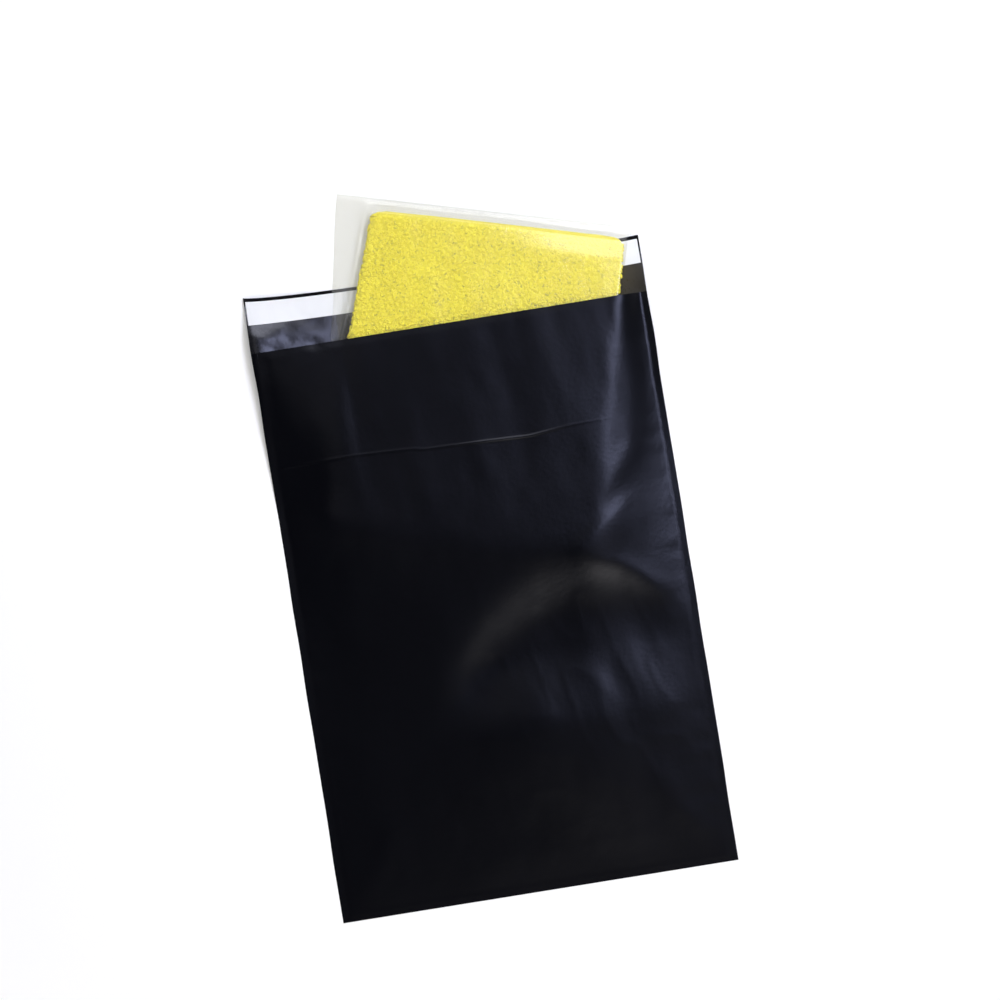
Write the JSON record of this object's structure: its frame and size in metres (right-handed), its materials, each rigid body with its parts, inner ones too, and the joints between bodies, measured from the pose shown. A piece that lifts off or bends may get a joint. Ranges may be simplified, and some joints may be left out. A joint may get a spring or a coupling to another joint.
{
  "type": "poly mailer bag",
  "caption": "Flat black poly mailer bag with side seals, an unsealed flap with a peel-off liner, and a folded cloth in a clear sleeve half pushed into its mouth.",
  "frame": {"origin": "the middle of the film's width and of its length from bottom fold to flap edge, on the underside of the back panel", "axes": "+X across the bag, +Y from the bottom fold to the flap, +Z out of the front panel"},
  "size_m": [0.28, 0.5035, 0.0119],
  "materials": {
    "mailer_film": "semi-gloss black polyethylene film, finely grained",
    "glue": "clear pressure-sensitive glue, hidden under the liner",
    "liner": "white satin release liner",
    "clear_film": "thin clear film, glossy and lightly creased",
    "cloth": "short looped pile, yellow"
  },
  "bodies": {
    "root": {"film_bag": "mailer_film", "glue_strip": "glue", "release_liner": "liner", "clear_sleeve": "clear_film", "folded_cloth": "cloth"}
  },
  "joints": []
}
